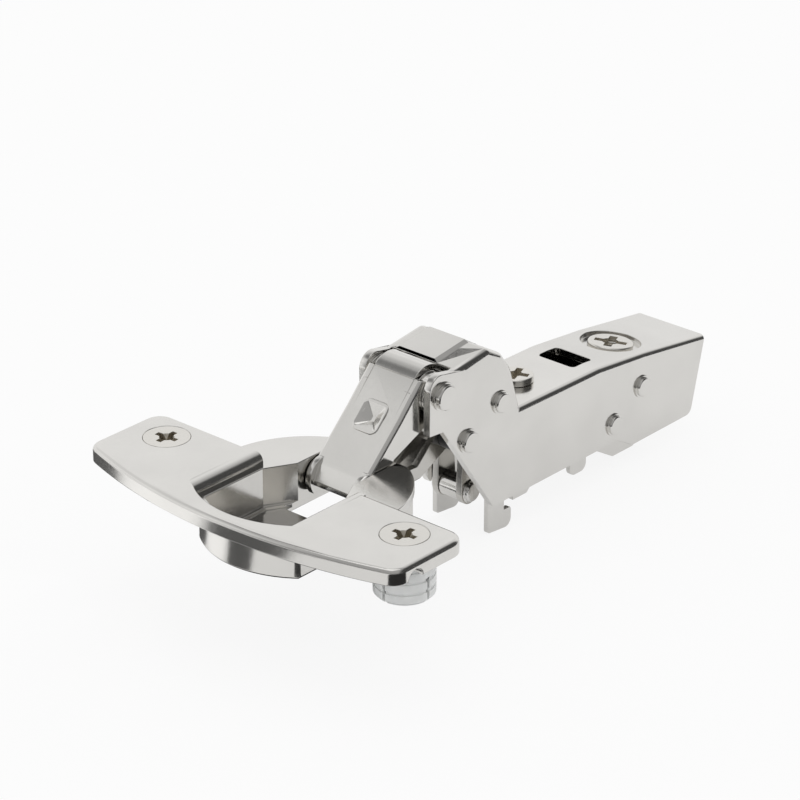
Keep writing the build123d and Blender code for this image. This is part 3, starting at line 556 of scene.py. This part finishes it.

# ------------------------------------------------------------------ studio cards
# Black, grey and white cards lie on the sheet round the hinge, and a soft dark one hangs over
# the outer link, as a studio sets them for bright metal. The black card under the hinge is a
# painted shadow on the sheet. Only reflections see them.

black_card = moulded_plastic("black card", (0.015, 0.015, 0.015, 1), (0.02, 0.02, 0.02, 1), roughness=1.0)
grey_card = moulded_plastic("grey card", (0.10, 0.10, 0.10, 1), (0.12, 0.12, 0.12, 1), roughness=1.0)
white_card = bpy.data.materials.new("white card")
white_card.use_nodes = True
white_shader = white_card.node_tree.nodes["Principled BSDF"]
white_shader.inputs["Emission Color"].default_value = (1, 1, 1, 1)
white_shader.inputs["Emission Strength"].default_value = 1.0
white_shader.inputs["Base Color"].default_value = (0.1, 0.1, 0.1, 1)


def soft_card(name, centre, radius, level, strength):
    """A card that fades out from its centre, so its reflection has no edge."""
    material = bpy.data.materials.new(name)
    material.use_nodes = True
    tree = material.node_tree
    place = tree.nodes.new("ShaderNodeTexCoord")
    spread = tree.nodes.new("ShaderNodeMapping")
    spread.inputs["Location"].default_value = [-c / radius for c in centre]
    spread.inputs["Scale"].default_value = (1 / radius, 1 / radius, 1 / radius)
    fade = tree.nodes.new("ShaderNodeTexGradient")
    fade.gradient_type = "SPHERICAL"
    share = tree.nodes.new("ShaderNodeMapRange")
    share.inputs["From Max"].default_value = 0.6
    share.inputs["To Max"].default_value = strength
    clear = tree.nodes.new("ShaderNodeBsdfTransparent")
    dim = tree.nodes.new("ShaderNodeEmission")
    dim.inputs["Color"].default_value = (level, level, level, 1)
    mix = tree.nodes.new("ShaderNodeMixShader")
    tree.links.new(place.outputs["Object"], spread.inputs["Vector"])
    tree.links.new(spread.outputs["Vector"], fade.inputs["Vector"])
    tree.links.new(fade.outputs["Fac"], share.inputs["Value"])
    tree.links.new(share.outputs["Result"], mix.inputs["Fac"])
    tree.links.new(clear.outputs[0], mix.inputs[1])
    tree.links.new(dim.outputs[0], mix.inputs[2])
    tree.links.new(mix.outputs[0], tree.nodes["Material Output"].inputs["Surface"])
    return material


def lying(*corners):
    """Corners of a card that lies just above the sheet."""
    card_level = sheet_level + 0.0001
    return [(x, y, card_level) for x, y in corners]


near_corners = lying(
    (-0.6, -1.2), (1.0, -1.2), (1.0, -0.1), (0.16, -0.085), (0.02, -0.08),
    (0.004, -0.045), (-0.012, -0.036), (-0.038, -0.03), (-0.06, -0.045), (-0.6, -0.35),
)
left_corners = lying(
    (-0.027, 0.018), (-0.036, 0.006), (-0.062, 0.004), (-0.2, 0.02), (-0.165, 0.105), (-0.053, 0.034),
)
wedge_corners = lying(
    (-0.026, 0.022), (-0.053, 0.038), (-0.165, 0.118), (-0.1, 0.17), (-0.033, 0.065), (-0.018, 0.036),
)
back_corners = lying((-0.014, 0.036), (0.003, 0.034), (0.01, 0.18), (-0.07, 0.15), (-0.031, 0.068))
# A painted shadow: a black card under the cup and flange, where the hinge's shadow falls.
painted_shadow_corners = lying(
    (-0.029, 0.0), (-0.026, -0.014), (-0.016, -0.025), (0.0, -0.03), (0.014, -0.022),
    (0.022, 0.0), (0.014, 0.02), (0.0, 0.025), (-0.018, 0.018), (-0.026, 0.01),
)
web_centre = (0.0095, 0.036, 0.0606)
web_card = soft_card("web card", web_centre, radius=0.022, level=0.18, strength=0.9)
web_across = (0.02155, 0.01453, 0.0)
web_up = (0.0099, -0.0147, 0.019)
web_corners = [
    [c + side * a + end * u for c, a, u in zip(web_centre, web_across, web_up)]
    for side, end in ((1, -1), (-1, -1), (-1, 1), (1, 1))
]
for card_name, card, corners in (
    ("near_card", black_card, near_corners),
    ("left_card", grey_card, left_corners),
    ("white_wedge", white_card, wedge_corners),
    ("back_card", grey_card, back_corners),
    ("painted_shadow_card", black_card, painted_shadow_corners),
    ("web_card", web_card, web_corners),
):
    bpy.ops.object.select_all(action="DESELECT")
    mesh = bpy.data.meshes.new(card_name)
    mesh.from_pydata(corners, [], [list(range(len(corners)))])
    flag = bpy.data.objects.new(card_name, mesh)
    bpy.context.scene.collection.objects.link(flag)
    flag.data.materials.append(card)
    flag.visible_camera = False
    flag.visible_diffuse = False
    flag.visible_transmission = False
    flag.visible_shadow = False

# ------------------------------------------------------------------ camera
# The camera looks down on the hinge from the flange's near corner.
# It stands a little over half a metre off, with a long lens, so the lines run nearly parallel.

look_down = 25.40
look_round = -48.57
bpy.ops.object.camera_add(
    location=(-0.3695, -0.3463, 0.2532),
    rotation=(radians(90 - look_down), 0, radians(look_round)),
)
camera = bpy.context.object
camera.data.sensor_width = 36.0
camera.data.lens = 158.47
camera.data.clip_start = 0.01
camera.data.clip_end = 20.0
bpy.context.scene.camera = camera
bpy.context.scene.view_settings.view_transform = "Standard"
